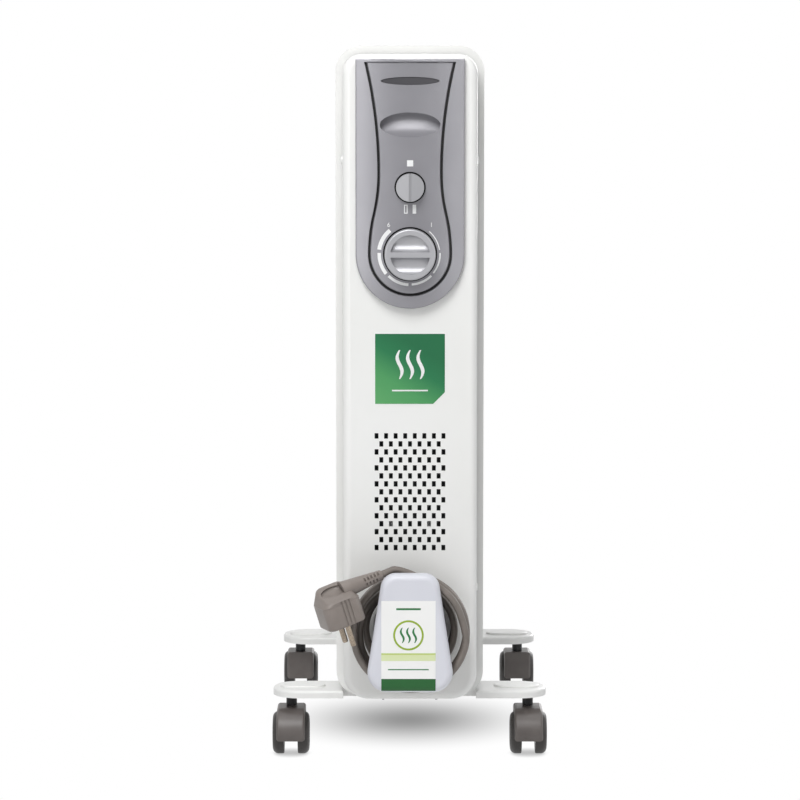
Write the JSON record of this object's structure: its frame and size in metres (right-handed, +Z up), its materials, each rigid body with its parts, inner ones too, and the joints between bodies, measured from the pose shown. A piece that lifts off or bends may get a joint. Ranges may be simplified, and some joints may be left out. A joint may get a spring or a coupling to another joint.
{
  "type": "oil filled radiator heater",
  "caption": "Upright oil filled radiator heater: oil fins behind a tall control box with panel, knobs, grille and cord wrap, on two feet with twin-wheel swivel casters.",
  "frame": {"origin": "on the floor, under the middle of the heater's box without its cord and plug", "axes": "+X to the right seen from the control box, +Y from the control box to the back, +Z up"},
  "size_m": [0.24, 0.47, 0.618],
  "materials": {
    "white_enamel": "white baked enamel on pressed steel sheet, semi-gloss",
    "panel_grey": "silver-grey lacquered plastic, satin gloss",
    "knob_silver": "silver lacquered plastic",
    "dark_seal": "black strip",
    "smoked_lens": "smoked clear plastic",
    "lamp_glass": "small neon lamp",
    "zinc_steel": "zinc plated steel",
    "black_steel": "black oxide steel",
    "black_moulding": "black moulded plastic",
    "white_moulding": "cool white moulded plastic",
    "cord_sheath": "warm grey PVC sheath",
    "plug_moulding": "warm grey moulded PVC",
    "nickel_pins": "nickel plated brass",
    "caster_nylon": "dark warm grey nylon",
    "wheel_nylon": "dark warm grey nylon"
  },
  "bodies": {
    "heater": {"bobbin_screws": "zinc_steel", "caster_stems": "black_steel", "control_panel": "panel_grey", "cord_bobbin": "black_moulding", "cord_cap": "white_moulding", "cord_gland": "black_moulding", "cover_screws": "zinc_steel", "filler_plug": "white_enamel", "fin_1": "white_enamel", "fin_2": "white_enamel", "fin_3": "white_enamel", "fin_4": "white_enamel", "fin_5": "white_enamel", "fin_6": "white_enamel", "fin_7": "white_enamel", "fin_8": "white_enamel", "fin_9": "white_enamel", "foot_u_bolts": "zinc_steel", "foot_wing_nuts": "zinc_steel", "front_cover": "white_enamel", "front_foot": "white_enamel", "header_caps": "white_enamel", "heating_element": "zinc_steel", "indicator_lens": "smoked_lens", "mains_cord": "cord_sheath", "mounting_plate": "zinc_steel", "panel_inlay": "panel_grey", "panel_seal": "dark_seal", "pilot_lamp": "lamp_glass", "plate_nuts": "zinc_steel", "plate_studs": "zinc_steel", "plug": "plug_moulding", "plug_pins": "nickel_pins", "rear_foot": "white_enamel", "switch_body": "black_moulding", "terminal_block": "black_moulding", "thermal_cutout": "zinc_steel", "thermostat_body": "black_moulding"},
    "switch": {"switch_knob": "panel_grey", "switch_shaft": "zinc_steel"},
    "thermostat": {"thermostat_knob": "knob_silver", "thermostat_shaft": "zinc_steel"},
    "front_left_caster": {"front_left_caster_hood": "caster_nylon", "front_left_caster_axle": "zinc_steel"},
    "front_left_wheel_a": {"front_left_caster_wheel_a": "wheel_nylon"},
    "front_left_wheel_b": {"front_left_caster_wheel_b": "wheel_nylon"},
    "front_right_caster": {"front_right_caster_hood": "caster_nylon", "front_right_caster_axle": "zinc_steel"},
    "front_right_wheel_a": {"front_right_caster_wheel_a": "wheel_nylon"},
    "front_right_wheel_b": {"front_right_caster_wheel_b": "wheel_nylon"},
    "rear_left_caster": {"rear_left_caster_hood": "caster_nylon", "rear_left_caster_axle": "zinc_steel"},
    "rear_left_wheel_a": {"rear_left_caster_wheel_a": "wheel_nylon"},
    "rear_left_wheel_b": {"rear_left_caster_wheel_b": "wheel_nylon"},
    "rear_right_caster": {"rear_right_caster_hood": "caster_nylon", "rear_right_caster_axle": "zinc_steel"},
    "rear_right_wheel_a": {"rear_right_caster_wheel_a": "wheel_nylon"},
    "rear_right_wheel_b": {"rear_right_caster_wheel_b": "wheel_nylon"}
  },
  "joints": [
    {"name": "switch_turn", "type": "hinge", "parent": "heater", "child": "switch", "pos_m": [0, -0.17415, 0.4993], "axis": [0, -1, 0], "range_deg": [-170, 170]},
    {"name": "thermostat_turn", "type": "hinge", "parent": "heater", "child": "thermostat", "pos_m": [0, -0.17415, 0.443], "axis": [0, -1, 0], "range_deg": [-135, 135]},
    {"name": "front_left_swivel", "type": "hinge", "parent": "heater", "child": "front_left_caster", "pos_m": [-0.104, -0.08735, 0.04], "axis": [0, 0, 1], "continuous": true},
    {"name": "front_left_wheel_a_roll", "type": "hinge", "parent": "front_left_caster", "child": "front_left_wheel_a", "pos_m": [-0.104, -0.10235, 0.0185], "axis": [1, 0, 0], "continuous": true},
    {"name": "front_left_wheel_b_roll", "type": "hinge", "parent": "front_left_caster", "child": "front_left_wheel_b", "pos_m": [-0.104, -0.10235, 0.0185], "axis": [1, 0, 0], "continuous": true},
    {"name": "front_right_swivel", "type": "hinge", "parent": "heater", "child": "front_right_caster", "pos_m": [0.104, -0.08735, 0.04], "axis": [0, 0, 1], "continuous": true},
    {"name": "front_right_wheel_a_roll", "type": "hinge", "parent": "front_right_caster", "child": "front_right_wheel_a", "pos_m": [0.104, -0.10235, 0.0185], "axis": [1, 0, 0], "continuous": true},
    {"name": "front_right_wheel_b_roll", "type": "hinge", "parent": "front_right_caster", "child": "front_right_wheel_b", "pos_m": [0.104, -0.10235, 0.0185], "axis": [1, 0, 0], "continuous": true},
    {"name": "rear_left_swivel", "type": "hinge", "parent": "heater", "child": "rear_left_caster", "pos_m": [-0.104, 0.17865, 0.04], "axis": [0, 0, 1], "continuous": true},
    {"name": "rear_left_wheel_a_roll", "type": "hinge", "parent": "rear_left_caster", "child": "rear_left_wheel_a", "pos_m": [-0.104, 0.19365, 0.0185], "axis": [1, 0, 0], "continuous": true},
    {"name": "rear_left_wheel_b_roll", "type": "hinge", "parent": "rear_left_caster", "child": "rear_left_wheel_b", "pos_m": [-0.104, 0.19365, 0.0185], "axis": [1, 0, 0], "continuous": true},
    {"name": "rear_right_swivel", "type": "hinge", "parent": "heater", "child": "rear_right_caster", "pos_m": [0.104, 0.17865, 0.04], "axis": [0, 0, 1], "continuous": true},
    {"name": "rear_right_wheel_a_roll", "type": "hinge", "parent": "rear_right_caster", "child": "rear_right_wheel_a", "pos_m": [0.104, 0.19365, 0.0185], "axis": [1, 0, 0], "continuous": true},
    {"name": "rear_right_wheel_b_roll", "type": "hinge", "parent": "rear_right_caster", "child": "rear_right_wheel_b", "pos_m": [0.104, 0.19365, 0.0185], "axis": [1, 0, 0], "continuous": true}
  ]
}
